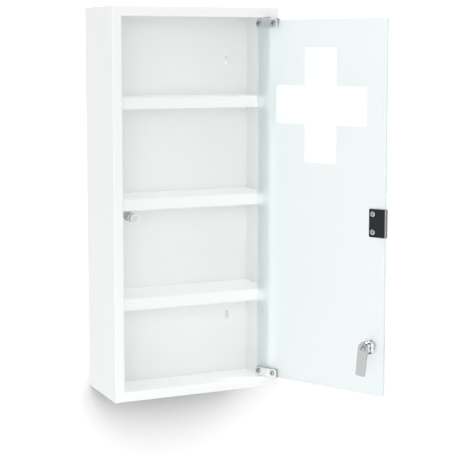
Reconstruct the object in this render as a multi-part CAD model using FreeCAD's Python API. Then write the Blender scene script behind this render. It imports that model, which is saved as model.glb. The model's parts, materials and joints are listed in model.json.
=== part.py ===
"""Wall-hung steel medicine cabinet with an inset glass door, a touch latch and a cam lock.

Millimetres. X runs to the right, Y from the front to the wall and Z up. The origin is the
centre of the four keyholes, on the rear face of the back panel. Door pieces are drawn with the
door closed and then swung open about the pivot pins, which is how the cabinet is shown.
"""
import FreeCAD, Part
import math
import os

Vector = FreeCAD.Vector
ALONG_X = Vector(1, 0, 0)
ALONG_Y = Vector(0, 1, 0)
ALONG_Z = Vector(0, 0, 1)

# Cabinet shell
cabinet_width = 275.0
cabinet_height = 600.0
cabinet_depth = 125.0
sheet = 1.0
bend_radius = 1.0
frame_face = 15.0
frame_return = 18.0
back_recess = 8.0
back_fold = 0.3
panel_fit = 0.1
corner_relief = 2.0

# Keyholes in the back panel
keyhole_spacing_x = 200.0
keyhole_spacing_z = 420.0
keyhole_radius = 4.5
keyhole_slot_width = 4.5
keyhole_rise = 8.0
keyhole_lift = 4.0

# Shelves
shelf_pitch = 154.0
middle_shelf_height = 308.5
shelf_setback = 19.0
shelf_lip = 17.0
shelf_flange = 12.0

# Glass door and its place in the frame
glass_thickness = 4.0
glass_corner = 2.0
glass_arris = 0.4
door_side_gap = 2.0
door_end_gap = 3.5
door_open_angle = 116.0
pivot_depth = 9.0
pivot_inset = 8.4

# Pivot hinges
clip_length = 40.0
clip_cover = 12.0
clip_web = 1.5
clip_outer_leg = 1.5
clip_inner_leg = 3.0
clip_corner = 2.5
clip_fold = 1.0
pad_thickness = 0.5
pad_margin = 1.0
clip_screw_inset = 6.0
pivot_pin_radius = 2.5
pivot_pin_length = 7.0
pivot_tenon_radius = 1.5
bush_wall = 1.5
bush_flange_radius = 5.5
bush_shank = 6.0
running_fit = 0.05
thrust_gap = 0.3

# Small screws
screw_radius = 2.0
screw_head_radius = 4.2
screw_head_height = 1.6
recess_width = 1.1
recess_depth = 1.0

# Strike on the free edge of the glass: a clip with a black plate on its inner leg
strike_height = 42.5
strike_reach = 27.0
strike_web = 1.0
strike_outer_leg = 1.2
strike_inner_leg = 1.0
strike_plate_thickness = 1.0
strike_corner = 2.0
strike_screw_from_edge = 20.0
strike_screw_spacing = 27.0

# Touch latch under the middle shelf
latch_from_side = 37.5
latch_drop = 11.5
latch_radius = 7.0
latch_length = 22.0
latch_bore_radius = 5.0
latch_front_wall = 1.5
latch_groove_width = 1.6
latch_groove_depth = 0.9
latch_travel = 4.0
latch_strike_gap = 0.3
plunger_head_radius = 6.0
plunger_head_length = 4.0
plunger_neck_radius = 4.0
plunger_tail_length = 3.0
plunger_tail_fit = 0.1
magnet_radius = 4.5
magnet_depth = 2.5
end_cap_plug = 4.0
latch_stud_radius = 3.0
latch_nut_across = 10.0
latch_nut_height = 4.0
latch_plate = 1.5
latch_plate_width = 15.0
latch_tab_length = 18.0
spring_wire = 0.8
spring_turns = 4
spring_steps_per_turn = 14

# Cam lock
lock_from_edge = 28.0
lock_height = 92.0
lock_tilt = 6.0
barrel_radius = 9.0
barrel_flat = 8.0
barrel_hole_gap = 0.4
bezel_radius = 11.0
bezel_height = 3.0
bezel_round = 1.0
soft_washer = 0.5
nut_across = 22.0
nut_height = 5.0
inner_washer = 0.8
inner_washer_radius = 11.5
plug_radius = 6.0
plug_head_radius = 7.5
plug_head_height = 1.5
keyway_width = 1.8
keyway_length = 9.0
keyway_depth = 6.0
tail_square = 7.0
cam_standoff = 12.0
cam_gap = 0.3
cam_thickness = 2.5
cam_width = 16.5
cam_reach = 42.8
cam_corner = 2.5
cam_fit = 0.05
cam_washer_radius = 6.0
cam_washer_thickness = 0.8
cam_screw_radius = 2.0
cam_screw_depth = 8.0
cam_screw_head_radius = 4.0
cam_screw_head_height = 2.2

# Places worked out from the sizes above
left = -cabinet_width / 2
right = cabinet_width / 2
front = back_recess - cabinet_depth
bottom = -cabinet_height / 2 - keyhole_lift
top = bottom + cabinet_height
mid_height = bottom + cabinet_height / 2
inner_width = cabinet_width - 2 * (sheet + panel_fit)
outer_bend = bend_radius + sheet
opening_left = left + frame_face
opening_right = right - frame_face
opening_bottom = bottom + frame_face
opening_top = top - frame_face

free_edge = opening_left + door_side_gap
hinge_edge = opening_right - door_side_gap
glass_bottom = opening_bottom + door_end_gap
glass_top = opening_top - door_end_gap
clip_thickness = clip_outer_leg + clip_inner_leg + glass_thickness + 2 * pad_thickness
pivot_x = hinge_edge - pivot_inset
pivot_y = front + pivot_depth
clip_front = pivot_y - clip_thickness / 2
clip_back = pivot_y + clip_thickness / 2
glass_front = clip_front + clip_outer_leg + pad_thickness
glass_back = glass_front + glass_thickness

middle_shelf_top = bottom + middle_shelf_height
latch_x = left + latch_from_side
latch_z = middle_shelf_top - shelf_lip - latch_drop
strike_leg_back = glass_back + pad_thickness + strike_inner_leg
strike_back = strike_leg_back + strike_plate_thickness
plunger_tip = strike_back + latch_strike_gap
latch_front = plunger_tip + plunger_head_length + latch_travel + latch_strike_gap
latch_back = latch_front + latch_length

lock_x = free_edge + lock_from_edge
lock_z = bottom + lock_height
bezel_back = glass_front - soft_washer
bezel_front = bezel_back - bezel_height
cam_front = glass_back + cam_standoff
cam_back = cam_front + cam_thickness
barrel_end = cam_front - cam_gap


# Shapes used by several pieces
def rounded_wire(corners):
    """Closed wire through (point, radius) corners, each rounded by its own radius."""
    entries = []
    exits = []
    middles = []
    count = len(corners)
    for index in range(count):
        point, radius = corners[index]
        to_last = (corners[index - 1][0] - point).normalize()
        to_next = (corners[(index + 1) % count][0] - point).normalize()
        half = to_last.getAngle(to_next) / 2
        entries.append(point + to_last * (radius / math.tan(half)))
        exits.append(point + to_next * (radius / math.tan(half)))
        inward = (to_last + to_next).normalize()
        middles.append(point + inward * (radius / math.sin(half) - radius))
    edges = []
    for index in range(count):
        if entries[index].distanceToPoint(exits[index - 1]) > 1e-6:
            edges.append(Part.makeLine(exits[index - 1], entries[index]))
        if corners[index][1] > 0:
            edges.append(Part.Arc(entries[index], middles[index], exits[index]).toShape())
    return Part.Wire(edges)


def prism(corners, direction):
    """Solid from a closed outline of (point, radius) corners, pushed along a direction."""
    return Part.Face(rounded_wire(corners)).extrude(direction)


def block(low, high):
    """Box between two opposite corners."""
    size = high - low
    return Part.makeBox(size.x, size.y, size.z, low)


def rod(radius, start, direction, length):
    """Plain cylinder."""
    return Part.makeCylinder(radius, length, start, direction)


def ring(outer_radius, inner_radius, start, direction, length):
    """Washer or tube."""
    return rod(outer_radius, start, direction, length).cut(rod(inner_radius, start, direction, length))


def hexagon_nut(across, bore_radius, start, height):
    """Hexagon nut along Y, one corner up, with both faces bevelled at the corners."""
    corner_radius = across / math.sqrt(3)
    corners = []
    for step in range(6):
        angle = math.radians(60 * step + 30)
        offset = Vector(corner_radius * math.cos(angle), 0, corner_radius * math.sin(angle))
        corners.append((start + offset, 0))
    nut = prism(corners, ALONG_Y * height)
    rounding = rod(corner_radius, start, ALONG_Y, height)
    bevel = (corner_radius - across / 2) * 0.6
    rounding = rounding.makeChamfer(bevel, [edge for edge in rounding.Edges if edge.Closed])
    return nut.common(rounding).cut(rod(bore_radius, start, ALONG_Y, height))


def pan_screw(seat, shank_length, radius, head_radius, head_height):
    """Cross-head screw whose head stands behind the seat and whose shank runs forward along Y."""
    head = rod(head_radius, seat, ALONG_Y, head_height)
    rim = [edge for edge in head.Edges if edge.Closed and edge.CenterOfMass.y > seat.y + head_height / 2]
    head = head.makeFillet(head_height * 0.6, rim)
    screw = head.fuse(rod(radius, seat - ALONG_Y * shank_length, ALONG_Y, shank_length))
    reach = head_radius * 0.6
    half = recess_width / 2
    floor = seat.y + head_height - recess_depth
    for across, along in ((reach, half), (half, reach)):
        low = Vector(seat.x - across, floor, seat.z - along)
        high = Vector(seat.x + across, seat.y + 2 * head_height, seat.z + along)
        screw = screw.cut(block(low, high))
    return screw.removeSplitter()


def edges_at(shape, axis, value):
    """Edges of a shape that lie wholly in the plane where one coordinate has this value."""
    flat = []
    for edge in shape.Edges:
        if all(abs(getattr(vertex.Point, axis) - value) < 1e-6 for vertex in edge.Vertexes):
            flat.append(edge)
    return flat


def opened(shape):
    """A door piece swung open about the pivot pins."""
    turned = shape.copy()
    turned.rotate(Vector(pivot_x, pivot_y, 0), ALONG_Z, door_open_angle)
    return turned


# Shell panels
def folded_panel(length):
    """Side panel folded into the front frame and its return, with both ends cut to a mitre."""
    section = [
        (Vector(0, cabinet_depth, 0), 0),
        (Vector(0, 0, 0), outer_bend),
        (Vector(frame_face, 0, 0), outer_bend),
        (Vector(frame_face, frame_return, 0), 0),
        (Vector(frame_face - sheet, frame_return, 0), 0),
        (Vector(frame_face - sheet, sheet, 0), bend_radius),
        (Vector(sheet, sheet, 0), bend_radius),
        (Vector(sheet, cabinet_depth, 0), 0),
    ]
    strip = prism(section, ALONG_Z * length)
    strip.translate(ALONG_Z * (-length / 2))
    half = length / 2
    mitre = [
        (Vector(0, 0, -half), 0),
        (Vector(0, 0, half), 0),
        (Vector(frame_face, 0, half - frame_face), 0),
        (Vector(frame_face, 0, frame_face - half), 0),
    ]
    return strip.common(prism(mitre, ALONG_Y * cabinet_depth))


def placed_panel(length, turn, corner):
    """Folded panel turned about Y so that its frame faces the opening."""
    panel = folded_panel(length)
    panel.rotate(Vector(0, 0, 0), ALONG_Y, turn)
    panel.translate(corner)
    return panel


def bush_hole(height):
    """Hole for a pivot bush through the return of the top or bottom panel."""
    radius = pivot_pin_radius + running_fit + bush_wall
    return rod(radius, Vector(pivot_x, pivot_y, height - sheet), ALONG_Z, 2 * sheet)


def back_panel():
    """Back tray with a rim folded towards the wall and four keyholes."""
    half_width = inner_width / 2
    low = bottom + sheet + panel_fit
    high = top - sheet - panel_fit
    tray = block(Vector(-half_width, -sheet, low), Vector(half_width, back_recess, high))
    tray = tray.makeFillet(back_fold + sheet, edges_at(tray, "y", -sheet))
    inner_low = Vector(sheet - half_width, 0, low + sheet)
    inner_high = Vector(half_width - sheet, back_recess, high - sheet)
    hollow = block(inner_low, inner_high)
    hollow = hollow.makeFillet(back_fold, edges_at(hollow, "y", 0))
    tray = tray.cut(hollow)
    relief = sheet + corner_relief
    for side in (-1, 1):
        for end, edge in ((-1, low), (1, high)):
            corner = Vector(side * half_width - relief, bend_radius, edge - relief)
            tray = tray.cut(Part.makeBox(2 * relief, back_recess, 2 * relief, corner))
            centre = Vector(side * keyhole_spacing_x / 2, 0, end * keyhole_spacing_z / 2)
            tray = tray.cut(keyhole(centre))
    return tray


def keyhole(centre):
    """Round entry hole with a narrow slot above it that hangs on the wall screw."""
    start = centre - ALONG_Y * sheet
    half = keyhole_slot_width / 2
    slot_end = start + ALONG_Z * keyhole_rise
    slot = block(start - ALONG_X * half, slot_end + Vector(half, sheet, 0))
    entry = rod(keyhole_radius, start, ALONG_Y, sheet)
    return entry.fuse([slot, rod(half, slot_end, ALONG_Y, sheet)])


def shelf(surface):
    """Shelf with a deep front lip and shallower flanges at the sides and the back."""
    half = inner_width / 2
    lip_front = front + shelf_setback
    rear = -sheet - panel_fit
    tray = block(Vector(-half, lip_front, surface - shelf_lip), Vector(half, rear, surface))
    tray = tray.makeFillet(outer_bend, edges_at(tray, "z", surface))
    inner_low = Vector(sheet - half, lip_front + sheet, surface - shelf_lip)
    inner_high = Vector(half - sheet, rear - sheet, surface - sheet)
    hollow = block(inner_low, inner_high)
    hollow = hollow.makeFillet(bend_radius, edges_at(hollow, "z", surface - sheet))
    tray = tray.cut(hollow)
    flange_low = Vector(-half, lip_front + sheet, surface - shelf_lip)
    tray = tray.cut(block(flange_low, Vector(half, rear, surface - shelf_flange)))
    relief = sheet + corner_relief
    for side in (-1, 1):
        for depth in (lip_front, rear):
            corner = Vector(side * half - relief, depth - relief, surface - shelf_lip - relief)
            height = shelf_lip + relief - outer_bend
            tray = tray.cut(Part.makeBox(2 * relief, 2 * relief, height, corner))
    return tray


# Pivot hinges
def pivot_bush(seat, direction):
    """Flanged bush: the flange lies on the frame's return and the shank passes through it."""
    into_opening = ALONG_Z * direction
    centre = Vector(pivot_x, pivot_y, seat)
    bore = pivot_pin_radius + running_fit
    flange = door_end_gap - clip_web - thrust_gap
    flanged = rod(bush_flange_radius, centre, into_opening, flange)
    shank = rod(bore + bush_wall - running_fit, centre, -into_opening, bush_shank)
    passage = rod(bore, centre + into_opening * flange, -into_opening, flange + bush_shank)
    return flanged.fuse(shank).cut(passage).removeSplitter()


def hinge_clip(glass_end, direction):
    """Channel that grips one corner of the glass; direction points along Z into the glass."""
    low = glass_end - direction * clip_web
    high = glass_end + direction * clip_cover
    inside_front = clip_front + clip_outer_leg
    inside_back = clip_back - clip_inner_leg
    section = [
        (Vector(hinge_edge, clip_front, high), 0),
        (Vector(hinge_edge, clip_front, low), clip_fold),
        (Vector(hinge_edge, clip_back, low), clip_fold),
        (Vector(hinge_edge, clip_back, high), 0),
        (Vector(hinge_edge, inside_back, high), 0),
        (Vector(hinge_edge, inside_back, glass_end), 0),
        (Vector(hinge_edge, inside_front, glass_end), 0),
        (Vector(hinge_edge, inside_front, high), 0),
    ]
    channel = prism(section, ALONG_X * -clip_length)
    face = [
        (Vector(hinge_edge, clip_front, low), 0),
        (Vector(hinge_edge, clip_front, high), clip_corner),
        (Vector(hinge_edge - clip_length, clip_front, high), clip_corner),
        (Vector(hinge_edge - clip_length, clip_front, low), 0),
    ]
    channel = channel.common(prism(face, ALONG_Y * clip_thickness))
    for seat in clip_screw_seats(glass_end, direction):
        channel = channel.cut(rod(screw_radius, seat - ALONG_Y * clip_inner_leg, ALONG_Y, clip_inner_leg))
    tenon_base = Vector(pivot_x, pivot_y, low)
    return channel.cut(rod(pivot_tenon_radius, tenon_base, ALONG_Z * direction, clip_web))


def clip_screw_seats(glass_end, direction):
    """Places on the inner leg where the two clamp screws' heads sit."""
    height = glass_end + direction * clip_cover / 2
    near = Vector(hinge_edge - clip_screw_inset, clip_back, height)
    far = Vector(hinge_edge - clip_length + clip_screw_inset, clip_back, height)
    return near, far


def clip_screws(glass_end, direction):
    """Two clamp screws that press the inner pad on the glass."""
    screws = []
    for seat in clip_screw_seats(glass_end, direction):
        screws.append(pan_screw(seat, clip_inner_leg, screw_radius, screw_head_radius, screw_head_height))
    return Part.makeCompound(screws)


def clip_pads(glass_end, direction):
    """Soft pads between the clip's legs and both faces of the glass."""
    pads = []
    for face in (clip_front + clip_outer_leg, glass_back):
        one_end = Vector(hinge_edge - pad_margin, face, glass_end + direction * pad_margin)
        far_end = Vector(hinge_edge - clip_length + pad_margin, face, glass_end + direction * (clip_cover - pad_margin))
        outline = [
            (one_end, 0),
            (Vector(far_end.x, face, one_end.z), 0),
            (far_end, clip_corner),
            (Vector(one_end.x, face, far_end.z), clip_corner),
        ]
        pads.append(prism(outline, ALONG_Y * pad_thickness))
    return Part.makeCompound(pads)


def pivot_pin(glass_end, direction):
    """Pin riveted into the clip's web, with a rounded tip that turns in the bush."""
    outward = ALONG_Z * -direction
    base = Vector(pivot_x, pivot_y, glass_end) + outward * clip_web
    pin = rod(pivot_pin_radius, base, outward, pivot_pin_length)
    tip = base.z + outward.z * pivot_pin_length
    pin = pin.makeFillet(pivot_tenon_radius / 2, edges_at(pin, "z", tip))
    return pin.fuse(rod(pivot_tenon_radius, base, -outward, clip_web)).removeSplitter()


# Glass and strike
def door_glass():
    """Toughened glass pane with arrised edges and a round hole for the lock."""
    outline = [
        (Vector(free_edge, glass_front, glass_bottom), glass_corner),
        (Vector(hinge_edge, glass_front, glass_bottom), glass_corner),
        (Vector(hinge_edge, glass_front, glass_top), glass_corner),
        (Vector(free_edge, glass_front, glass_top), glass_corner),
    ]
    pane = prism(outline, ALONG_Y * glass_thickness)
    rims = edges_at(pane, "y", glass_front) + edges_at(pane, "y", glass_back)
    pane = pane.makeChamfer(glass_arris, rims)
    hole_start = Vector(lock_x, glass_front, lock_z)
    return pane.cut(rod(barrel_radius + barrel_hole_gap, hole_start, ALONG_Y, glass_thickness))


def strike_clip():
    """Channel folded round the free edge of the glass, which carries the strike plate."""
    strike_front = glass_front - pad_thickness - strike_outer_leg
    leg_front = strike_front + strike_outer_leg
    inside_back = strike_leg_back - strike_inner_leg
    web = free_edge - strike_web
    reach = free_edge + strike_reach
    low = latch_z - strike_height / 2
    section = [
        (Vector(reach, strike_front, low), 0),
        (Vector(web, strike_front, low), strike_web / 2),
        (Vector(web, strike_leg_back, low), strike_web / 2),
        (Vector(reach, strike_leg_back, low), 0),
        (Vector(reach, inside_back, low), 0),
        (Vector(free_edge, inside_back, low), 0),
        (Vector(free_edge, leg_front, low), 0),
        (Vector(reach, leg_front, low), 0),
    ]
    channel = prism(section, ALONG_Z * strike_height)
    depth = strike_leg_back - strike_front
    channel = channel.common(prism(strike_outline(web, strike_front), ALONG_Y * depth))
    return channel.cut(strike_screw_holes())


def strike_plate():
    """Black steel plate on the clip's inner leg, which the latch's magnet holds."""
    plate = prism(strike_outline(free_edge, strike_leg_back), ALONG_Y * strike_plate_thickness)
    return plate.cut(strike_screw_holes())


def strike_outline(edge, depth):
    """Outline of the strike seen from inside, from one edge to its rounded end."""
    reach = free_edge + strike_reach
    low = latch_z - strike_height / 2
    high = low + strike_height
    return [
        (Vector(edge, depth, low), 0),
        (Vector(reach, depth, low), strike_corner),
        (Vector(reach, depth, high), strike_corner),
        (Vector(edge, depth, high), 0),
    ]


def strike_screw_holes():
    """Holes for the two clamp screws through the plate and the inner leg."""
    length = strike_plate_thickness + strike_inner_leg
    lower, upper = strike_screw_seats()
    lower_hole = rod(screw_radius, lower, -ALONG_Y, length)
    return lower_hole.fuse(rod(screw_radius, upper, -ALONG_Y, length))


def strike_screw_seats():
    """Places on the strike plate where its two clamp screws sit."""
    across = free_edge + strike_screw_from_edge
    lower = Vector(across, strike_back, latch_z - strike_screw_spacing / 2)
    return lower, lower + ALONG_Z * strike_screw_spacing


def strike_screws():
    """Two clamp screws that hold the strike on the glass."""
    screws = []
    length = strike_plate_thickness + strike_inner_leg
    for seat in strike_screw_seats():
        screws.append(pan_screw(seat, length, screw_radius, screw_head_radius, screw_head_height))
    return Part.makeCompound(screws)


def strike_pads():
    """Soft pads between the strike's legs and both faces of the glass."""
    low = latch_z - strike_height / 2 + pad_margin
    high = low + strike_height - 2 * pad_margin
    reach = free_edge + strike_reach - pad_margin
    pads = []
    for face in (glass_front - pad_thickness, glass_back):
        outline = [
            (Vector(free_edge, face, low), 0),
            (Vector(reach, face, low), strike_corner),
            (Vector(reach, face, high), strike_corner),
            (Vector(free_edge, face, high), 0),
        ]
        pads.append(prism(outline, ALONG_Y * pad_thickness))
    return Part.makeCompound(pads)


# Touch latch
def latch_bracket():
    """Folded bracket welded under the middle shelf; its hanging plate carries the latch."""
    seat = middle_shelf_top - sheet
    half = latch_plate_width / 2
    section = [
        (Vector(latch_x - half, latch_back, latch_z - half), 0),
        (Vector(latch_x - half, latch_back, seat), latch_plate + bend_radius),
        (Vector(latch_x - half, latch_back + latch_tab_length, seat), 0),
        (Vector(latch_x - half, latch_back + latch_tab_length, seat - latch_plate), 0),
        (Vector(latch_x - half, latch_back + latch_plate, seat - latch_plate), bend_radius),
        (Vector(latch_x - half, latch_back + latch_plate, latch_z - half), 0),
    ]
    strap = prism(section, ALONG_X * latch_plate_width)
    face = [
        (Vector(latch_x - half, latch_back, latch_z - half), half * 0.99),
        (Vector(latch_x + half, latch_back, latch_z - half), half * 0.99),
        (Vector(latch_x + half, latch_back, seat), 0),
        (Vector(latch_x - half, latch_back, seat), 0),
    ]
    strap = strap.common(prism(face, ALONG_Y * latch_tab_length))
    stud_hole = rod(latch_stud_radius, Vector(latch_x, latch_back, latch_z), ALONG_Y, latch_plate)
    return strap.cut(stud_hole)


def latch_barrel():
    """Turned tube with two grip grooves, closed at the front round the plunger's neck."""
    start = Vector(latch_x, latch_front, latch_z)
    tube = rod(latch_radius, start, ALONG_Y, latch_length)
    rims = [edge for edge in tube.Edges if edge.Closed]
    tube = tube.makeFillet(latch_groove_depth / 2, rims)
    tube = tube.cut(rod(plunger_neck_radius + running_fit, start, ALONG_Y, latch_length))
    bore_start = start + ALONG_Y * latch_front_wall
    tube = tube.cut(rod(latch_bore_radius, bore_start, ALONG_Y, latch_length - latch_front_wall))
    for share in (1, 2):
        groove_start = start + ALONG_Y * (latch_length * share / 3 - latch_groove_width / 2)
        inner = latch_radius - latch_groove_depth
        tube = tube.cut(ring(2 * latch_radius, inner, groove_start, ALONG_Y, latch_groove_width))
    return tube


def latch_end_cap():
    """Plug that closes the tube's rear end, with the stud that goes through the bracket."""
    plug_start = Vector(latch_x, latch_back - end_cap_plug, latch_z)
    plug = rod(latch_bore_radius, plug_start, ALONG_Y, end_cap_plug)
    stud_start = Vector(latch_x, latch_back, latch_z)
    stud = rod(latch_stud_radius, stud_start, ALONG_Y, latch_plate + latch_nut_height + latch_plate)
    return plug.fuse(stud).removeSplitter()


def latch_nut():
    """Nut on the stud behind the bracket."""
    seat = Vector(latch_x, latch_back + latch_plate, latch_z)
    return hexagon_nut(latch_nut_across, latch_stud_radius, seat, latch_nut_height)


def latch_plunger():
    """Sliding plunger with a cupped head for the magnet and a tail that keeps it in the tube."""
    tip = Vector(latch_x, plunger_tip, latch_z)
    head = rod(plunger_head_radius, tip, ALONG_Y, plunger_head_length)
    head = head.makeFillet(latch_groove_depth / 2, [edge for edge in head.Edges if edge.Closed])
    tail_start = latch_front + latch_front_wall + latch_strike_gap
    neck_length = tail_start + plunger_tail_length - plunger_tip
    neck = rod(plunger_neck_radius, tip, ALONG_Y, neck_length)
    tail_seat = Vector(latch_x, tail_start, latch_z)
    tail = rod(latch_bore_radius - plunger_tail_fit, tail_seat, ALONG_Y, plunger_tail_length)
    body = head.fuse([neck, tail]).removeSplitter()
    return body.cut(rod(magnet_radius, tip, ALONG_Y, magnet_depth))


def latch_magnet():
    """Round magnet seated in the plunger's head."""
    return rod(magnet_radius, Vector(latch_x, plunger_tip, latch_z), ALONG_Y, magnet_depth)


def latch_spring():
    """Coil spring between the end cap and the plunger's tail, wound from eight-sided wire."""
    tail_back = latch_front + latch_front_wall + latch_strike_gap + plunger_tail_length
    space = latch_back - end_cap_plug - tail_back
    coil_radius = latch_bore_radius - spring_wire
    rise = space - 2 * spring_wire
    steps = int(spring_turns * spring_steps_per_turn)
    sections = []
    for step in range(steps + 1):
        angle = 2 * math.pi * step / spring_steps_per_turn
        outward = Vector(math.cos(angle), 0, math.sin(angle))
        depth = tail_back + spring_wire + rise * step / steps
        centre = Vector(latch_x, depth, latch_z) + outward * coil_radius
        corners = []
        for side in range(8):
            turn = math.radians(45 * side)
            across = outward * math.cos(turn) + ALONG_Y * math.sin(turn)
            corners.append(centre + across * (spring_wire / 2))
        sections.append(Part.makePolygon(corners + corners[:1]))
    return Part.makeLoft(sections, True, True)


# Cam lock
def lock_point(depth):
    """Point on the lock's axis at a depth."""
    return Vector(lock_x, depth, lock_z)


def lock_housing():
    """Bezel and flat-sided barrel, bored for the plug."""
    bezel = rod(bezel_radius, lock_point(bezel_front), ALONG_Y, bezel_height)
    rim = [edge for edge in bezel.Edges if edge.Closed and edge.CenterOfMass.y < bezel_back - bezel_height / 2]
    bezel = bezel.makeFillet(bezel_round, rim)
    barrel_length = barrel_end - bezel_back
    barrel = rod(barrel_radius, lock_point(bezel_back), ALONG_Y, barrel_length)
    flat_low = lock_point(bezel_back) - Vector(barrel_flat, 0, barrel_radius)
    flat_high = lock_point(barrel_end) + Vector(barrel_flat, 0, barrel_radius)
    housing = bezel.fuse(barrel.common(block(flat_low, flat_high)))
    bore = rod(plug_radius + running_fit, lock_point(bezel_front), ALONG_Y, barrel_end - bezel_front)
    recess = rod(plug_head_radius + running_fit, lock_point(bezel_front), ALONG_Y, plug_head_height)
    return housing.cut(bore.fuse(recess)).removeSplitter()


def lock_plug():
    """Turning plug with the keyway in its head and a square tail for the cam."""
    head = rod(plug_head_radius, lock_point(bezel_front), ALONG_Y, plug_head_height - running_fit)
    body = rod(plug_radius, lock_point(bezel_front), ALONG_Y, cam_front - bezel_front)
    half = tail_square / 2
    tail = block(lock_point(cam_front) - Vector(half, 0, half), lock_point(cam_back) + Vector(half, 0, half))
    plug = head.fuse([body, tail]).removeSplitter()
    keyway_low = lock_point(bezel_front) - Vector(keyway_width / 2, 0, keyway_length / 2)
    keyway_high = lock_point(bezel_front + keyway_depth) + Vector(keyway_width / 2, 0, keyway_length / 2)
    plug = plug.cut(block(keyway_low, keyway_high))
    return plug.cut(rod(cam_screw_radius, lock_point(cam_back), -ALONG_Y, cam_screw_depth))


def lock_cam():
    """Flat cam with a round hub and a square hole that fits the plug's tail."""
    half = cam_width / 2
    tip = lock_z - cam_reach
    bar = [
        (Vector(lock_x - half, cam_front, lock_z), 0),
        (Vector(lock_x - half, cam_front, tip), cam_corner),
        (Vector(lock_x + half, cam_front, tip), cam_corner),
        (Vector(lock_x + half, cam_front, lock_z), 0),
    ]
    cam = prism(bar, ALONG_Y * cam_thickness)
    cam = cam.fuse(rod(half, lock_point(cam_front), ALONG_Y, cam_thickness)).removeSplitter()
    hole = tail_square / 2 + cam_fit
    square = block(lock_point(cam_front) - Vector(hole, 0, hole), lock_point(cam_back) + Vector(hole, 0, hole))
    return cam.cut(square)


def lock_nut():
    """Nut that clamps the lock on the glass."""
    seat = lock_point(glass_back + inner_washer)
    return hexagon_nut(nut_across, barrel_radius, seat, nut_height)


def soft_lock_washer():
    """Soft washer between the bezel and the glass."""
    return ring(bezel_radius, barrel_radius, lock_point(bezel_back), ALONG_Y, soft_washer)


def inner_lock_washer():
    """Washer between the nut and the inner face of the glass."""
    return ring(inner_washer_radius, barrel_radius, lock_point(glass_back), ALONG_Y, inner_washer)


def cam_washer():
    """Washer under the cam screw's head."""
    return ring(cam_washer_radius, cam_screw_radius, lock_point(cam_back), ALONG_Y, cam_washer_thickness)


def cam_screw():
    """Screw that holds the cam on the plug."""
    seat = lock_point(cam_back + cam_washer_thickness)
    shank = cam_washer_thickness + cam_screw_depth
    return pan_screw(seat, shank, cam_screw_radius, cam_screw_head_radius, cam_screw_head_height)


def as_turned(shape):
    """A turning lock piece in the tilted, unlocked position in which the cam hangs."""
    turned = shape.copy()
    turned.rotate(lock_point(0), ALONG_Y, -lock_tilt)
    return turned


# The cabinet's fixed pieces
pieces = {
    "left_side_panel": placed_panel(cabinet_height, 0, Vector(left, front, mid_height)),
    "right_side_panel": placed_panel(cabinet_height, 180, Vector(right, front, mid_height)),
    "top_panel": placed_panel(cabinet_width, 90, Vector(0, front, top)).cut(bush_hole(opening_top)),
    "bottom_panel": placed_panel(cabinet_width, -90, Vector(0, front, bottom)).cut(bush_hole(opening_bottom)),
    "back_panel": back_panel(),
    "upper_shelf": shelf(middle_shelf_top + shelf_pitch),
    "middle_shelf": shelf(middle_shelf_top),
    "lower_shelf": shelf(middle_shelf_top - shelf_pitch),
    "top_pivot_bush": pivot_bush(opening_top, -1),
    "bottom_pivot_bush": pivot_bush(opening_bottom, 1),
    "latch_bracket": latch_bracket(),
    "latch_barrel": latch_barrel(),
    "latch_end_cap": latch_end_cap(),
    "latch_nut": latch_nut(),
    "latch_spring": latch_spring(),
    "latch_plunger": latch_plunger(),
    "latch_magnet": latch_magnet(),
}

# The door's pieces, swung open
for corner_name, glass_end, into_glass in (("top", glass_top, -1), ("bottom", glass_bottom, 1)):
    pieces[corner_name + "_hinge_clip"] = opened(hinge_clip(glass_end, into_glass))
    pieces[corner_name + "_clip_pads"] = opened(clip_pads(glass_end, into_glass))
    pieces[corner_name + "_clip_screws"] = opened(clip_screws(glass_end, into_glass))
    pieces[corner_name + "_pivot_pin"] = opened(pivot_pin(glass_end, into_glass))
pieces["door_glass"] = opened(door_glass())
pieces["strike_clip"] = opened(strike_clip())
pieces["strike_plate"] = opened(strike_plate())
pieces["strike_pads"] = opened(strike_pads())
pieces["strike_screws"] = opened(strike_screws())
pieces["lock_housing"] = opened(lock_housing())
pieces["lock_nut"] = opened(lock_nut())
pieces["soft_lock_washer"] = opened(soft_lock_washer())
pieces["inner_lock_washer"] = opened(inner_lock_washer())

# The pieces that turn with the key
for lock_name, lock_shape in (
    ("lock_plug", lock_plug()),
    ("lock_cam", lock_cam()),
    ("cam_washer", cam_washer()),
    ("cam_screw", cam_screw()),
):
    pieces[lock_name] = opened(as_turned(lock_shape))

os.makedirs("parts", exist_ok=True)
for node, shape in pieces.items():
    shape.exportStep("parts/" + node + ".step")
    print(node, len(shape.Solids), "solid(s)", "valid" if shape.isValid() else "NOT VALID", round(shape.Volume, 1))
print("pivot", round(pivot_x, 3), round(pivot_y, 3), "lock", round(lock_x, 3), round(glass_back, 3), round(lock_z, 3))
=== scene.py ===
"""Looks of the wall medicine cabinet: finishes, printed cross, lock thread, latch coil, paint in the
rear corners, studio and camera.

Metres, in the part's own frame: X to the right, Y towards the wall, Z up.
"""

import json
import math

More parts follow.
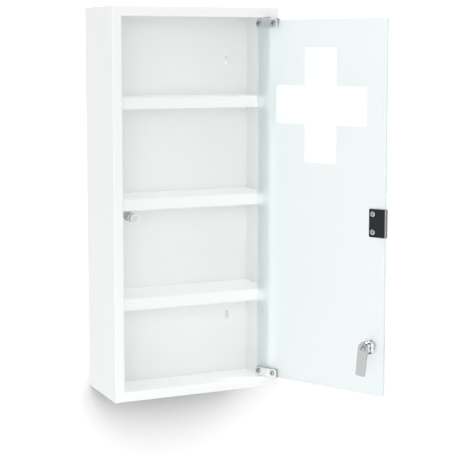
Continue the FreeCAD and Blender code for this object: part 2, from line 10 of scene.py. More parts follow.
import bmesh
import bpy
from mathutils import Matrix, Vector


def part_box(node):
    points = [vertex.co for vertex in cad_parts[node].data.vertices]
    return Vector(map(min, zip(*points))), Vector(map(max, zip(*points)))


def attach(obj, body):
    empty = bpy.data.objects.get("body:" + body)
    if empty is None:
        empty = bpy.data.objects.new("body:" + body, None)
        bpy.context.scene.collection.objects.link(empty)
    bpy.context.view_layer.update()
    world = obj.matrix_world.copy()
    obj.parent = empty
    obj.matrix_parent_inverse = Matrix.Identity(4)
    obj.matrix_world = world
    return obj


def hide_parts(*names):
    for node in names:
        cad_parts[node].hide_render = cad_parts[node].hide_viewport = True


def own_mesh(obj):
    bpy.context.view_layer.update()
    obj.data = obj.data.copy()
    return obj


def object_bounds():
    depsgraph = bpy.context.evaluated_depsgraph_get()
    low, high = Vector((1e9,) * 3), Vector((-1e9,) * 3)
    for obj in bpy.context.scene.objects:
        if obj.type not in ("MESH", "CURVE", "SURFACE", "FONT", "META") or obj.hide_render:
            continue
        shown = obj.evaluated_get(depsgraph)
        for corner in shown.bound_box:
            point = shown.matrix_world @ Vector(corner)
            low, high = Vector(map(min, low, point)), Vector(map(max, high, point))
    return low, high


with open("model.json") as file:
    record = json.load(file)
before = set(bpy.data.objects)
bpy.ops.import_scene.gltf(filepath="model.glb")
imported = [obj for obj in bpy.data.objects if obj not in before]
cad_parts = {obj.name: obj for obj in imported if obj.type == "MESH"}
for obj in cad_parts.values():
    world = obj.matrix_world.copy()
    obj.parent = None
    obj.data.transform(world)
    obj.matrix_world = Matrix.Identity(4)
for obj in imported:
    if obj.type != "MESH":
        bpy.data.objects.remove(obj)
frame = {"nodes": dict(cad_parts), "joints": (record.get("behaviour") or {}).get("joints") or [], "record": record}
cad_low, cad_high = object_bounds()

nodes = frame["nodes"]
joints = {joint["name"]: joint for joint in frame["joints"]}

# Printed cross on the inner face of the glass
cross_below_glass_top = 0.1305
cross_to_free_edge = 0.002
cross_half_height = 0.0876
cross_half_width = 0.0845
cross_arm_half = 0.0295
cross_corner_cut = 0.00036
ink_gap = 0.00002
ink_top = 0.00012

# Thread on the lock's barrel. Its start and end lie along the lock's axis, from the lock's joint
thread_pitch = 0.001
thread_start = 0.00595
thread_end = 0.01155
thread_crest = 0.00925
thread_root = 0.00902
thread_sink = 0.00015
thread_steps_per_turn = 60
barrel_flat = 0.00803
least_cosine = 1e-6

# Shares of the pitch where the thread's ridge starts, reaches its crest, leaves it and ends
thread_profile = (0.05, 0.4, 0.6, 0.95)

# Coil spring in the latch
spring_wire = 0.0008
spring_turns = 4
spring_steps_per_turn = 32
spring_wire_sides = 12

# Paint that bridges the seams between the back panel's folds and the sides
seam_radius = 0.0015
back_fold_radius = 0.0013
seam_clearance = 0.00002
seam_shelf_gap = 0.0002
seam_panel_gap = 0.002
seam_steps = 5
seam_fold_angles = (90, 60, 35)

# Ratios inside the shared effects
grit_fineness = 4.3
grit_share = 0.25
streak_fineness = 9.0
streak_stretch = (1.0, 1.0, 0.15)
grain_squeeze = 0.985

# Studio: a wall just behind the cabinet and a floor below it
studio_half = 6
floor_height = -1.4
wall_top = 5
wall_place = cad_high.y + 0.0004
wall_base = (0.08, 0.08, 0.08)
floor_base = (0.60, 0.60, 0.60)
floor_glow = 0.33

# The wall's own light: low in the shadow, higher behind the cabinet and full far away
shadow_height = -0.3
shadow_reach = (0.6, 1.3)
shadow_glow = 0.23
far_glow = 1.05
cabinet_foot = (-0.30, -0.27)
behind_glow = 0.46
even_glow = 1.04

# Sky: its tint, its strength on surfaces and where it is seen, and how it dims in side reflections
sky_tint = (0.98, 0.99, 1.0, 1)
sky_strength = (0.74, 0.92)
sky_dim_way = (-0.75, -0.3)
sky_dim = (0.0, 0.5)

# Camera
camera_place = Vector((-0.8029, -2.0018, 0.2331))
camera_turn = math.radians(24.646)
camera_dip = math.radians(6.353)
camera_lens = 102.62
camera_sensor = 36
camera_shift = -0.08
camera_reach = 50

# Directions of the open door: along the glass from hinge to free edge, and out of its inner face
glass_points = [vertex.co for vertex in nodes["door_glass"].data.vertices]
inner_face_way = Vector(joints["lock_turn"]["axis"]).normalized()
up = Vector((0, 0, 1))
across_door = inner_face_way.cross(up).normalized()
hinge_point = Vector(joints["door_hinge"]["pos_m"])
if (sum(glass_points, Vector()) / len(glass_points) - hinge_point).dot(across_door) < 0:
    across_door = -across_door
lock_point = Vector(joints["lock_turn"]["pos_m"])


def reach(points, way):
    """Lowest and highest distance of some points along a direction."""
    distances = [point.dot(way) for point in points]
    return min(distances), max(distances)


def door_point(across, out, height):
    """Point in the door's own directions: along the glass, out of its inner face and up."""
    return across_door * across + inner_face_way * out + up * height


# Shared effects

def new_effect(name, inputs, outputs):
    """Empty shader node group with named sockets, and its two end nodes."""
    effect = bpy.data.node_groups.new(name, "ShaderNodeTree")
    for label, kind, value in inputs:
        socket = effect.interface.new_socket(label, in_out="INPUT", socket_type="NodeSocket" + kind)
        socket.default_value = value
    for label, kind in outputs:
        effect.interface.new_socket(label, in_out="OUTPUT", socket_type="NodeSocket" + kind)
    return effect, effect.nodes.new("NodeGroupInput"), effect.nodes.new("NodeGroupOutput")


def add(tree, kind, values=None, **settings):
    """New shader node with its settings and its input values."""
    made = tree.nodes.new("ShaderNode" + kind)
    for name, value in settings.items():
        setattr(made, name, value)
    for name, value in (values or {}).items():
        made.inputs[name].default_value = value
    return made


def join(tree, source, target):
    """Link from one socket to another."""
    tree.links.new(source, target)


def sums(tree, kind, first, second):
    """Math node on two sockets or numbers."""
    made = add(tree, "Math", operation=kind)
    for place, value in enumerate((first, second)):
        if isinstance(value, (int, float)):
            made.inputs[place].default_value = value
        else:
            join(tree, value, made.inputs[place])
    return made.outputs[0]


def scaled(tree, value, gain, start):
    """Value times a gain, plus a start."""
    return sums(tree, "ADD", sums(tree, "MULTIPLY", value, gain), start)


def between(tree, share, limits):
    """Value at a share of the way from a low limit to a high one."""
    low, high = limits
    return scaled(tree, share, gain=high - low, start=low)


def weighed(tree, first, first_weight, second, second_weight):
    """Sum of two values, each times its own weight."""
    first_part = sums(tree, "MULTIPLY", first, first_weight)
    second_part = sums(tree, "MULTIPLY", second, second_weight)
    return sums(tree, "ADD", first_part, second_part)


def spread(tree, value, from_range, to_range=(0.0, 1.0)):
    """Value moved smoothly from one range to another and held inside it."""
    made = add(tree, "MapRange", interpolation_type="SMOOTHSTEP")
    join(tree, value, made.inputs["Value"])
    names = ("From Min", "From Max", "To Min", "To Max")
    for name, number in zip(names, (*from_range, *to_range)):
        made.inputs[name].default_value = number
    return made.outputs["Result"]


def blended(tree, share, first, second):
    """Colour between two colours, each given as a socket or as three numbers."""
    made = add(tree, "Mix", data_type="RGBA")
    join(tree, share, made.inputs["Factor"])
    # In a Mix node, the colours come in at places 6 and 7 and go out at place 2
    for place, colour in ((6, first), (7, second)):
        if isinstance(colour, tuple):
            made.inputs[place].default_value = (*colour, 1)
        else:
            join(tree, colour, made.inputs[place])
    return made.outputs[2]


def make_orange_peel():
    """Soft waves of a stoved powder coat, with finer grit and slow patches."""
    effect, start, end = new_effect(
        "orange peel",
        [("Peel Size", "Float", 700.0), ("Patch Size", "Float", 9.0)],
        [("Height", "Float"), ("Patch", "Float")],
    )
    place = add(effect, "TexCoord")
    waves = add(effect, "TexNoise", {"Detail": 2.0, "Roughness": 0.45})
    join(effect, place.outputs["Object"], waves.inputs["Vector"])
    join(effect, start.outputs["Peel Size"], waves.inputs["Scale"])
    grit = add(effect, "TexNoise", {"Detail": 1.0})
    join(effect, place.outputs["Object"], grit.inputs["Vector"])
    grit_size = sums(effect, "MULTIPLY", start.outputs["Peel Size"], grit_fineness)
    join(effect, grit_size, grit.inputs["Scale"])
    fine = sums(effect, "MULTIPLY", grit.outputs["Fac"], grit_share)
    join(effect, sums(effect, "ADD", waves.outputs["Fac"], fine), end.inputs["Height"])
    patches = add(effect, "TexNoise", {"Detail": 3.0, "Roughness": 0.55})
    join(effect, place.outputs["Object"], patches.inputs["Vector"])
    join(effect, start.outputs["Patch Size"], patches.inputs["Scale"])
    join(effect, spread(effect, patches.outputs["Fac"], (0.3, 0.7)), end.inputs["Patch"])
    return effect


def make_edge_wear_and_highlight():
    """Mask that is 1 along outer edges and corners and 0 on flat faces, for wear and painted highlight along
    edges.
    """
    effect, start, end = new_effect(
        "edge wear and highlight",
        [("Width", "Float", 0.0006), ("Gain", "Float", 6.0)],
        [("Mask", "Float")],
    )
    rounded = add(effect, "Bevel", samples=6)
    join(effect, start.outputs["Width"], rounded.inputs["Radius"])
    surface = add(effect, "NewGeometry")
    likeness = add(effect, "VectorMath", operation="DOT_PRODUCT")
    join(effect, rounded.outputs["Normal"], likeness.inputs[0])
    join(effect, surface.outputs["Normal"], likeness.inputs[1])
    turned = sums(effect, "SUBTRACT", 1.0, likeness.outputs["Value"])
    strong = sums(effect, "MULTIPLY", turned, start.outputs["Gain"])
    join(effect, spread(effect, strong, (0.05, 1.0)), end.inputs["Mask"])
    return effect


def make_finger_marks():
    """Slow smears with faint fine streaks, as left by wiping and handling."""
    effect, start, end = new_effect(
        "finger marks",
        [("Smear Size", "Float", 40.0)],
        [("Smear", "Float")],
    )
    place = add(effect, "TexCoord")
    smears = add(effect, "TexNoise", {"Detail": 4.0, "Roughness": 0.6, "Distortion": 1.2})
    join(effect, place.outputs["Object"], smears.inputs["Vector"])
    join(effect, start.outputs["Smear Size"], smears.inputs["Scale"])
    streaks = add(effect, "TexNoise", {"Detail": 2.0})
    stretched = add(effect, "Mapping", {"Scale": streak_stretch})
    join(effect, place.outputs["Object"], stretched.inputs["Vector"])
    join(effect, stretched.outputs["Vector"], streaks.inputs["Vector"])
    streak_size = sums(effect, "MULTIPLY", start.outputs["Smear Size"], streak_fineness)
    join(effect, streak_size, streaks.inputs["Scale"])
    both = sums(effect, "MULTIPLY", smears.outputs["Fac"], streaks.outputs["Fac"])
    join(effect, spread(effect, both, (0.12, 0.42)), end.inputs["Smear"])
    return effect


def make_brushed_grain():
    """Fine lines that run one way over a metal face."""
    effect, start, end = new_effect(
        "brushed grain",
        [("Along", "Vector", (0.0, 0.0, 1.0)), ("Fineness", "Float", 5000.0)],
        [("Grain", "Float")],
    )
    place = add(effect, "TexCoord")
    length = add(effect, "VectorMath", operation="DOT_PRODUCT")
    join(effect, place.outputs["Object"], length.inputs[0])
    join(effect, start.outputs["Along"], length.inputs[1])
    run = add(effect, "VectorMath", operation="SCALE")
    join(effect, start.outputs["Along"], run.inputs[0])
    join(effect, sums(effect, "MULTIPLY", length.outputs["Value"], grain_squeeze), run.inputs["Scale"])
    squeezed = add(effect, "VectorMath", operation="SUBTRACT")
    join(effect, place.outputs["Object"], squeezed.inputs[0])
    join(effect, run.outputs["Vector"], squeezed.inputs[1])
    lines = add(effect, "TexNoise", {"Detail": 3.0, "Roughness": 0.7})
    join(effect, squeezed.outputs["Vector"], lines.inputs["Vector"])
    join(effect, start.outputs["Fineness"], lines.inputs["Scale"])
    join(effect, spread(effect, lines.outputs["Fac"], (0.28, 0.72)), end.inputs["Grain"])
    return effect


def make_corner_shade_mask():
    """Mask for painted shade: 1 deep in recesses and close to a neighbour, and 0 on open faces."""
    effect, start, end = new_effect(
        "painted corner shade",
        [("Reach", "Float", 0.0015), ("Gain", "Float", 1.0)],
        [("Mask", "Float")],
    )
    openness = add(effect, "AmbientOcclusion", samples=12)
    join(effect, start.outputs["Reach"], openness.inputs["Distance"])
    closed = sums(effect, "SUBTRACT", 1.0, openness.outputs["AO"])
    strong = sums(effect, "MULTIPLY", closed, start.outputs["Gain"])
    join(effect, spread(effect, strong, (0.15, 0.75)), end.inputs["Mask"])
    return effect


orange_peel = make_orange_peel()
edge_wear_and_highlight = make_edge_wear_and_highlight()
finger_marks = make_finger_marks()
brushed_grain = make_brushed_grain()
corner_shade_mask = make_corner_shade_mask()


# Finishes

# Painted shade and painted dark reflection: metal is coloured dark in recesses and where a neighbour is close
metal_corner_shade = {"Reach": 0.0018, "Gain": 1.15}
painted_corner_shade = (0.05, 0.053, 0.056)


def new_finish(name, base, roughness, metallic=0.0):
    """Material with one Principled shader set to its plain values."""
    finish = bpy.data.materials.new(name)
    finish.use_nodes = True
    shader = finish.node_tree.nodes["Principled BSDF"]
    shader.inputs["Base Color"].default_value = (*base, 1)
    shader.inputs["Roughness"].default_value = roughness
    shader.inputs["Metallic"].default_value = metallic
    return finish, finish.node_tree, shader


def place_effect(tree, effect, values):
    """Shared effect placed in a material with the material's own values."""
    made = tree.nodes.new("ShaderNodeGroup")
    made.node_tree = effect
    for name, value in values.items():
        made.inputs[name].default_value = value
    return made


def bumped(tree, shader, height, strength, depth):
    """Surface relief on the shader's normal."""
    relief = add(tree, "Bump", {"Strength": strength, "Distance": depth})
    join(tree, height, relief.inputs["Height"])
    join(tree, relief.outputs["Normal"], shader.inputs["Normal"])


def white_powder_coat():
    """Stoved powder coat: orange peel, slow patches, edges painted lighter as a highlight, and wiped smears."""
    finish, tree, shader = new_finish("white powder coat", base=(0.90, 0.91, 0.905), roughness=0.40)
    shader.inputs["Specular IOR Level"].default_value = 0.45
    peel = place_effect(tree, orange_peel, {"Peel Size": 620.0, "Patch Size": 7.0})
    edges = place_effect(tree, edge_wear_and_highlight, {"Width": 0.0009, "Gain": 5.0})
    marks = place_effect(tree, finger_marks, {"Smear Size": 26.0})
    edge = edges.outputs["Mask"]
    # Painted highlight: the coat is lighter along its edges, while the slow patches vary its tone at random
    tint = weighed(tree, peel.outputs["Patch"], 0.55, edge, 0.45)
    coat = blended(tree, tint, (0.935, 0.945, 0.939), (0.962, 0.968, 0.964))
    join(tree, coat, shader.inputs["Base Color"])
    wiped = scaled(tree, marks.outputs["Smear"], gain=0.09, start=0.35)
    polished = sums(tree, "MULTIPLY", edge, 0.06)
    join(tree, sums(tree, "SUBTRACT", wiped, polished), shader.inputs["Roughness"])
    bumped(tree, shader, peel.outputs["Height"], strength=0.16, depth=0.0003)
    return finish


def frosted_glass():
    """Etched glass: milky on its faces, smoother and greener at its edges."""
    finish, tree, shader = new_finish("frosted glass", base=(0.87, 0.95, 0.945), roughness=0.26)
    shader.inputs["Transmission Weight"].default_value = 1.0
    shader.inputs["IOR"].default_value = 1.48
    place = add(tree, "TexCoord")
    facing = add(tree, "VectorMath", {1: inner_face_way}, operation="DOT_PRODUCT")
    join(tree, place.outputs["Normal"], facing.inputs[0])
    flat = sums(tree, "ABSOLUTE", facing.outputs["Value"], 0.0)
    face = spread(tree, flat, (0.55, 0.9))
    glass_tint = blended(tree, face, (0.60, 0.79, 0.77), (0.835, 0.878, 0.878))
    join(tree, glass_tint, shader.inputs["Base Color"])
    marks = place_effect(tree, finger_marks, {"Smear Size": 14.0})
    etched = scaled(tree, marks.outputs["Smear"], gain=0.03, start=0.60)
    edge_share = scaled(tree, face, gain=0.6, start=0.4)
    join(tree, sums(tree, "MULTIPLY", etched, edge_share), shader.inputs["Roughness"])
    peel = place_effect(tree, orange_peel, {"Peel Size": 2600.0, "Patch Size": 5.0})
    etching = sums(tree, "MULTIPLY", peel.outputs["Height"], face)
    bumped(tree, shader, etching, strength=0.03, depth=0.00004)
    return finish


def white_ceramic_ink():
    """Fired white ink with a fine skin. A little light of its own keeps the print white."""
    finish, tree, shader = new_finish("white ceramic ink", base=(0.95, 0.955, 0.955), roughness=0.42)
    peel = place_effect(tree, orange_peel, {"Peel Size": 3200.0, "Patch Size": 12.0})
    patch = peel.outputs["Patch"]
    white = blended(tree, patch, (0.982, 0.984, 0.984), (0.995, 0.996, 0.996))
    join(tree, white, shader.inputs["Base Color"])
    join(tree, scaled(tree, patch, gain=0.08, start=0.38), shader.inputs["Roughness"])
    shader.inputs["Emission Color"].default_value = (1, 1, 1, 1)
    shader.inputs["Emission Strength"].default_value = 0.045
    bumped(tree, shader, peel.outputs["Height"], strength=0.08, depth=0.00008)
    return finish


def plated(name, dull, bright, roughness, smear_size, scratch):
    """Bright plating: smeared gloss, edges lighter as polished wear and painted highlight, painted shade in
    recesses, hair scratches.
    """
    finish, tree, shader = new_finish(name, base=bright, roughness=roughness[0], metallic=1.0)
    marks = place_effect(tree, finger_marks, {"Smear Size": smear_size})
    edges = place_effect(tree, edge_wear_and_highlight, {"Width": 0.0004, "Gain": 6.0})
    corners = place_effect(tree, corner_shade_mask, metal_corner_shade)
    # Lighter along the edges, as polished wear and painted highlight
    plating = blended(tree, edges.outputs["Mask"], dull, bright)
    # Painted shade: the plating is coloured dark in recesses and where a neighbour is close
    join(tree, blended(tree, corners.outputs["Mask"], plating, painted_corner_shade), shader.inputs["Base Color"])
    join(tree, between(tree, marks.outputs["Smear"], roughness), shader.inputs["Roughness"])
    grain = place_effect(tree, brushed_grain, {"Along": across_door, "Fineness": 2600.0})
    bumped(tree, shader, grain.outputs["Grain"], strength=scratch, depth=0.00004)
    return finish


def bright_chrome():
    """Chrome of the lock and the latch's barrel."""
    return plated(
        "bright chrome",
        dull=(0.84, 0.85, 0.86),
        bright=(0.93, 0.94, 0.95),
        roughness=(0.06, 0.16),
        smear_size=180.0,
        scratch=0.04,
    )


def zinc_steel():
    """Zinc on the screws, pins, washers, latch nut and coil."""
    return plated(
        "zinc steel",
        dull=(0.48, 0.49, 0.50),
        bright=(0.70, 0.71, 0.72),
        roughness=(0.16, 0.30),
        smear_size=320.0,
        scratch=0.08,
    )


def magnet_plating():
    """Bright plating of the latch's magnet."""
    return plated(
        "magnet plating",
        dull=(0.88, 0.89, 0.90),
        bright=(0.95, 0.95, 0.96),
        roughness=(0.14, 0.22),
        smear_size=240.0,
        scratch=0.05,
    )


def brushed(name, way, dark, light, roughness, fineness, relief):
    """Metal with a directional grain in its colour, gloss and relief, edges lighter as wear and painted highlight,
    painted shade in recesses.
    """
    finish, tree, shader = new_finish(name, base=light, roughness=roughness[1], metallic=1.0)
    grain = place_effect(tree, brushed_grain, {"Along": way, "Fineness": fineness})
    edges = place_effect(tree, edge_wear_and_highlight, {"Width": 0.0005, "Gain": 6.0})
    corners = place_effect(tree, corner_shade_mask, metal_corner_shade)
    line = grain.outputs["Grain"]
    # Lighter along the edges, as wear and painted highlight, mixed with the grain
    share = weighed(tree, line, 0.65, edges.outputs["Mask"], 0.35)
    metal = blended(tree, share, dark, light)
    # Painted shade: the metal is coloured dark in recesses and where a neighbour is close
    join(tree, blended(tree, corners.outputs["Mask"], metal, painted_corner_shade), shader.inputs["Base Color"])
    join(tree, between(tree, line, roughness), shader.inputs["Roughness"])
    bumped(tree, shader, line, strength=relief, depth=0.00006)
    return finish


def satin_nickel():
    """Satin plating of the hinge clips and the strike's clip, with its grain along the door."""
    return brushed(
        "satin nickel",
        way=across_door,
        dark=(0.72, 0.735, 0.745),
        light=(0.97, 0.98, 0.985),
        roughness=(0.16, 0.26),
        fineness=3800.0,
        relief=0.07,
    )


def brushed_cam_steel():
    """Steel of the lock's cam, with its grain upright."""
    return brushed(
        "brushed cam steel",
        way=up,
        dark=(0.39, 0.40, 0.40),
        light=(0.54, 0.55, 0.55),
        roughness=(0.30, 0.44),
        fineness=4200.0,
        relief=0.16,
    )


def black_enamel():
    """Black enamel of the strike's plate, lighter grey along its edges as rubbed wear and painted highlight."""
    finish, tree, shader = new_finish("black enamel", base=(0.018, 0.019, 0.021), roughness=0.34)
    shader.inputs["Specular IOR Level"].default_value = 0.2
    edges = place_effect(tree, edge_wear_and_highlight, {"Width": 0.0006, "Gain": 5.0})
    peel = place_effect(tree, orange_peel, {"Peel Size": 900.0, "Patch Size": 60.0})
    # Lighter grey along the edges: rubbed wear and painted highlight
    enamel = blended(tree, edges.outputs["Mask"], (0.016, 0.017, 0.019), (0.075, 0.078, 0.082))
    join(tree, enamel, shader.inputs["Base Color"])
    join(tree, scaled(tree, peel.outputs["Patch"], gain=0.14, start=0.27), shader.inputs["Roughness"])
    bumped(tree, shader, peel.outputs["Height"], strength=0.14, depth=0.0002)
    return finish


def moulded(name, shade, light, roughness, grit):
    """Moulded or pressed piece with a fine matt skin, lighter along its edges as wear and painted highlight."""
    finish, tree, shader = new_finish(name, base=light, roughness=roughness[0])
    peel = place_effect(tree, orange_peel, {"Peel Size": grit, "Patch Size": 90.0})
    edges = place_effect(tree, edge_wear_and_highlight, {"Width": 0.0004, "Gain": 5.0})
    patch = peel.outputs["Patch"]
    # Lighter along the edges as wear and painted highlight, and in random patches
    share = sums(tree, "MAXIMUM", patch, edges.outputs["Mask"])
    join(tree, blended(tree, share, shade, light), shader.inputs["Base Color"])
    join(tree, between(tree, patch, roughness), shader.inputs["Roughness"])
    bumped(tree, shader, peel.outputs["Height"], strength=0.2, depth=0.00012)
    return finish, shader


def white_nylon():
    """Nylon of the bushes and the latch's plunger."""
    finish, _ = moulded(
        "white nylon",
        shade=(0.80, 0.80, 0.78),
        light=(0.88, 0.88, 0.86),
        roughness=(0.42, 0.55),
        grit=1900.0,
    )
    return finish


def clear_soft_pad():
    """Soft clear pads and washer between metal and glass."""
    finish, shader = moulded(
        "clear soft pad",
        shade=(0.66, 0.71, 0.71),
        light=(0.78, 0.82, 0.82),
        roughness=(0.38, 0.5),
        grit=1500.0,
    )
    shader.inputs["Transmission Weight"].default_value = 0.4
    return finish


finishes = {
    "white_powder_coat": white_powder_coat(),
    "frosted_glass": frosted_glass(),
    "bright_chrome": bright_chrome(),
    "satin_nickel": satin_nickel(),
    "zinc_steel": zinc_steel(),
    "brushed_cam_steel": brushed_cam_steel(),
    "black_enamel": black_enamel(),
    "white_nylon": white_nylon(),
    "clear_soft_pad": clear_soft_pad(),
}
ink = white_ceramic_ink()
own_finishes = {"latch_magnet": magnet_plating()}

for piece in frame["record"]["subparts"]:
    mesh = nodes[piece["node"]].data
    mesh.materials.clear()
    mesh.materials.append(own_finishes.get(piece["node"], finishes[piece["material_slot"]]))
nodes["door_glass"].visible_shadow = False


# Pieces added to the solids

def new_piece(name, points, faces, finish, body):
    """Mesh that rides on one of the cabinet's bodies."""
    mesh = bpy.data.meshes.new(name)
    mesh.from_pydata(points, [], faces)
    shape = bmesh.new()
    shape.from_mesh(mesh)
    bmesh.ops.recalc_face_normals(shape, faces=shape.faces)
    shape.to_mesh(mesh)
    shape.free()
    mesh.materials.append(finish)
    made = bpy.data.objects.new(name, mesh)
    bpy.context.scene.collection.objects.link(made)
    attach(made, body)
    return made


def tube_faces(first, rings, sides):
    """Faces of a closed tube whose points lie ring after ring, from the first point on."""
    faces = []
    for ring in range(rings - 1):
        start = first + ring * sides
        for side in range(sides):
            here = start + side
            beside = start + (side + 1) % sides
            faces.append((here, beside, beside + sides, here + sides))
    last = first + (rings - 1) * sides
    faces.append(tuple(reversed(range(first, first + sides))))
    faces.append(tuple(range(last, last + sides)))
    return faces


def cross_outline():
    """Corners of the cross, each nipped off a little, as a screen print leaves them."""
    arm = cross_arm_half
    wide = cross_half_width
    tall = cross_half_height
    corners = [
        (-arm, tall), (-arm, arm), (-wide, arm), (-wide, -arm), (-arm, -arm), (-arm, -tall),
        (arm, -tall), (arm, -arm), (wide, -arm), (wide, arm), (arm, arm), (arm, tall),
    ]
    outline = []
    for index, corner in enumerate(corners):
        here = Vector(corner)
        for other in (corners[index - 1], corners[(index + 1) % len(corners)]):
            outline.append(here + (Vector(other) - here).normalized() * cross_corner_cut)
    return outline


def print_cross():
    """Thin layer of ink on the inner face of the glass."""
    middle = sum(reach(glass_points, across_door)) / 2 + cross_to_free_edge
    inner_face = reach(glass_points, inner_face_way)[1]
    height = reach(glass_points, up)[1] - cross_below_glass_top
    outline = cross_outline()
    points = []
    for lift in (ink_gap, ink_top):
        for step in outline:
            points.append(door_point(middle + step.x, inner_face + lift, height + step.y))
    faces = tube_faces(0, 2, len(outline))
    new_piece("cross_print", points, faces, ink, "door")


def cut_thread():
    """Helical ridge on the barrel between the nut and the cam, cut off at the barrel's two flats."""
    turns = (thread_end - thread_start) / thread_pitch - 1
    steps = int(turns * thread_steps_per_turn)
    points = []
    for step in range(steps + 1):
        angle = 2 * math.pi * step / thread_steps_per_turn
        sideways = across_door * math.cos(angle) + up * math.sin(angle)
        limit = barrel_flat / max(abs(math.cos(angle)), least_cosine)
        along = thread_start + thread_pitch * step / thread_steps_per_turn
        root = min(thread_root, limit - thread_sink)
        crest = min(thread_crest, limit)
        for radius, share in zip((root, crest, crest, root), thread_profile):
            centre = lock_point + inner_face_way * (along + share * thread_pitch)
            points.append(centre + sideways * radius)
    faces = tube_faces(0, steps + 1, len(thread_profile))
    new_piece("lock_barrel_thread", points, faces, finishes["bright_chrome"], "door")


def wind_spring():
    """Round-wire coil in the place of the solid spring."""
    low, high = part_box("latch_spring")
    middle = (Vector(low) + Vector(high)) / 2
    length = high[1] - low[1]
    wire = spring_wire / 2
    coil = (high[0] - low[0]) / 2 - wire
    run = length - 2 * wire
    steps = spring_turns * spring_steps_per_turn
    points = []
    for step in range(steps + 1):
        angle = 2 * math.pi * step / spring_steps_per_turn
        outward = Vector((math.cos(angle), 0, math.sin(angle)))
        centre = Vector((middle.x, low[1] + wire + run * step / steps, middle.z)) + outward * coil
        for side in range(spring_wire_sides):
            turn = 2 * math.pi * side / spring_wire_sides
            lengthways = Vector((0, wire * math.sin(turn), 0))
            points.append(centre + outward * wire * math.cos(turn) + lengthways)
    faces = tube_faces(0, steps + 1, spring_wire_sides)
    made = new_piece("latch_coil", points, faces, finishes["zinc_steel"], "cabinet")
    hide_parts("latch_spring")
    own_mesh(made)


def seam_section():
    """Section of a paint seam, as distances from the side panel and in front of the back panel."""
    section = []
    for step in range(seam_steps):
        angle = math.pi / 2 * step / (seam_steps - 1)
        from_side = seam_radius * (1 - math.cos(angle))
        in_front = seam_radius * (1 - math.sin(angle))
        section.append((from_side + seam_clearance, in_front + seam_clearance))
    clear = back_fold_radius + seam_clearance
    for degrees in seam_fold_angles:
        angle = math.radians(degrees)
        from_side = back_fold_radius - clear * math.cos(angle)
        in_front = clear * math.sin(angle) - back_fold_radius
        section.append((from_side, in_front))
    section.append((seam_clearance, section[-1][1]))
    return section


def paint_seams():
    """Paint in the upright corners of the back panel, broken where the shelves stand."""
    low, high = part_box("back_panel")
    spans = []
    start = low[2] + seam_panel_gap
    for name in ("lower_shelf", "middle_shelf", "upper_shelf"):
        shelf_low, shelf_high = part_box(name)
        spans.append((start, shelf_low[2] - seam_shelf_gap))
        start = shelf_high[2] + seam_shelf_gap
    spans.append((start, high[2] - seam_panel_gap))
    section = seam_section()
    points = []
    faces = []
    for edge, inward in ((low[0], 1), (high[0], -1)):
        for span in spans:
            faces += tube_faces(len(points), 2, len(section))
            for height in span:
                for from_side, in_front in section:
                    points.append((edge + inward * from_side, low[1] - in_front, height))
    coat = finishes["white_powder_coat"]
    new_piece("corner_paint", points, faces, coat, "cabinet")


print_cross()
cut_thread()
wind_spring()
paint_seams()


# Studio

def flat_sheet(name, corners, finish):
    """Four-cornered sheet of the studio."""
    mesh = bpy.data.meshes.new(name)
    mesh.from_pydata(corners, [], [(0, 1, 2, 3)])
    mesh.update()
    mesh.materials.append(finish)
    made = bpy.data.objects.new(name, mesh)
    bpy.context.scene.collection.objects.link(made)
    return made


def studio_white(name, base, glow):
    """Matt white with a little light of its own, for the wall and the floor."""
    finish, tree, shader = new_finish(name, base, roughness=0.9)
    shader.inputs["Specular IOR Level"].default_value = 0.0
    shader.inputs["Emission Color"].default_value = (1, 1, 1, 1)
    shader.inputs["Emission Strength"].default_value = glow
    return finish, tree, shader


def wall_white():
    """Studio wall: even where the glass and the metal show it, shaded where it is seen itself, and
    clear from behind."""
    finish, tree, shader = studio_white("wall white", wall_base, glow=1.0)
    place = add(tree, "TexCoord")
    far = add(tree, "VectorMath", {1: (0.0, wall_place, shadow_height)}, operation="DISTANCE")
    join(tree, place.outputs["Object"], far.inputs[0])
    height = add(tree, "SeparateXYZ")
    join(tree, place.outputs["Object"], height.inputs["Vector"])
    away = spread(tree, far.outputs["Value"], shadow_reach, (shadow_glow, far_glow))
    behind = spread(tree, height.outputs["Z"], cabinet_foot, (shadow_glow, behind_glow))
    join(tree, sums(tree, "MAXIMUM", away, behind), shader.inputs["Emission Color"])
    rays = add(tree, "LightPath")
    even = add(tree, "Emission", {"Strength": even_glow})
    seen_itself = add(tree, "MixShader")
    join(tree, rays.outputs["Is Camera Ray"], seen_itself.inputs["Fac"])
    join(tree, even.outputs["Emission"], seen_itself.inputs[1])
    join(tree, shader.outputs["BSDF"], seen_itself.inputs[2])
    surface = add(tree, "NewGeometry")
    clear = add(tree, "BsdfTransparent")
    side = add(tree, "MixShader")
    join(tree, surface.outputs["Backfacing"], side.inputs["Fac"])
    join(tree, seen_itself.outputs["Shader"], side.inputs[1])
    join(tree, clear.outputs["BSDF"], side.inputs[2])
    join(tree, side.outputs["Shader"], tree.nodes["Material Output"].inputs["Surface"])
    return finish


def floor_white():
    """Studio floor."""
    finish, _, _ = studio_white("floor white", floor_base, floor_glow)
    return finish


def soft_light(name, place, target, size, power):
    """Rectangular light that the camera doesn't see."""
    lamp = bpy.data.lights.new(name, "AREA")
    lamp.shape = "RECTANGLE"
    lamp.size, lamp.size_y = size
    lamp.energy = power
    made = bpy.data.objects.new(name, lamp)
    made.location = place
    made.rotation_euler = (Vector(target) - Vector(place)).to_track_quat("-Z", "Y").to_euler()
    made.visible_camera = False
    bpy.context.scene.collection.objects.link(made)
    return made


def group_of(name, members):
    """Collection of objects for a light's links."""
    made = bpy.data.collections.new(name)
    for member in members:
        made.objects.link(member)
    return made


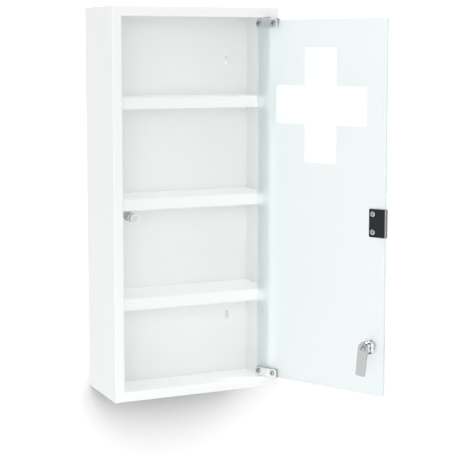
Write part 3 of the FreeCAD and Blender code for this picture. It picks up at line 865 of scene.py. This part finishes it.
wall = flat_sheet(
    "studio wall",
    [
        (-studio_half, wall_place, floor_height),
        (studio_half, wall_place, floor_height),
        (studio_half, wall_place, wall_top),
        (-studio_half, wall_place, wall_top),
    ],
    wall_white(),
)
wall.visible_shadow = False
wall.visible_diffuse = False
floor = flat_sheet(
    "studio floor",
    [
        (-studio_half, -studio_half, floor_height),
        (studio_half, -studio_half, floor_height),
        (studio_half, studio_half, floor_height),
        (-studio_half, studio_half, floor_height),
    ],
    floor_white(),
)
floor.visible_diffuse = False

soft_light("front light", place=(-0.9, -2.6, 0.3), target=(0, -0.05, 0.0), size=(1.5, 1.2), power=14.0)
soft_light("low front light", place=(-0.5, -2.6, -0.8), target=(0, -0.05, -0.1), size=(1.4, 0.9), power=1.0)
soft_light(
    "lower compartment fill",
    place=(-0.1, -0.45, -0.42),
    target=(0.06, 0.0, -0.22),
    size=(0.3, 0.15),
    power=0.13,
)
corner_fill = soft_light(
    "lower corner fill",
    place=(0.06, -0.116, -0.266),
    target=(0.118, 0.0, -0.27),
    size=(0.08, 0.03),
    power=0.0072,
)
corner_fill.visible_glossy = False
right_fill = soft_light(
    "right fill",
    place=(1.6, -0.1, -0.3),
    target=(0.14, -0.06, -0.1),
    size=(0.14, 0.8),
    power=2.7,
)
right_fill.visible_glossy = False
left_fill = soft_light(
    "low left fill",
    place=(-2.0, -0.7, -0.9),
    target=(0, -0.05, 0.0),
    size=(1.2, 0.8),
    power=6.7,
)
left_fill.visible_transmission = False

# Light from straight above, which only the floor stops, so that it reaches every shelf
shelf_wash = bpy.data.objects.new("shelf wash", bpy.data.lights.new("shelf wash", "SUN"))
shelf_wash.data.energy = 0.73
shelf_wash.data.angle = math.radians(10)
bpy.context.scene.collection.objects.link(shelf_wash)
shelf_wash.light_linking.blocker_collection = group_of("under the shelves", [floor])

# Light on the wall alone, which casts the cabinet's soft shadow below it
wall_wash = soft_light(
    "wall wash",
    place=(0.0, -1.2, 1.55),
    target=(0.0, 0.0, 1.55),
    size=(4.6, 3.4),
    power=1750,
)
wall_wash.light_linking.receiver_collection = group_of("washed by the wall light", [wall])
shading_panels = [nodes["bottom_panel"], nodes["back_panel"]]
wall_wash.light_linking.blocker_collection = group_of("shading the wall", shading_panels)

world = bpy.data.worlds.new("studio")
world.use_nodes = True
surround = world.node_tree
backdrop = surround.nodes["Background"]
backdrop.inputs["Color"].default_value = sky_tint
seen = add(surround, "LightPath")
straight = sums(surround, "MAXIMUM", seen.outputs["Is Camera Ray"], seen.outputs["Is Transmission Ray"])
shine = spread(surround, straight, (0.0, 1.0), sky_strength)
way = add(surround, "SeparateXYZ")
join(surround, add(surround, "TexCoord").outputs["Generated"], way.inputs["Vector"])
beside = spread(surround, way.outputs["Y"], sky_dim_way, sky_dim)
dim = sums(surround, "MULTIPLY", seen.outputs["Is Glossy Ray"], beside)
join(surround, sums(surround, "SUBTRACT", shine, dim), backdrop.inputs["Strength"])
bpy.context.scene.world = world
bpy.context.scene.view_settings.view_transform = "Standard"

lens = bpy.data.cameras.new("photo camera")
lens.sensor_fit = "HORIZONTAL"
lens.sensor_width = camera_sensor
lens.lens = camera_lens
lens.shift_y = camera_shift
lens.clip_end = camera_reach
camera = bpy.data.objects.new("photo camera", lens)
camera.location = camera_place
look = Vector((
    math.sin(camera_turn) * math.cos(camera_dip),
    math.cos(camera_turn) * math.cos(camera_dip),
    -math.sin(camera_dip),
))
camera.rotation_euler = look.to_track_quat("-Z", "Y").to_euler()
bpy.context.scene.collection.objects.link(camera)
bpy.context.scene.camera = camera
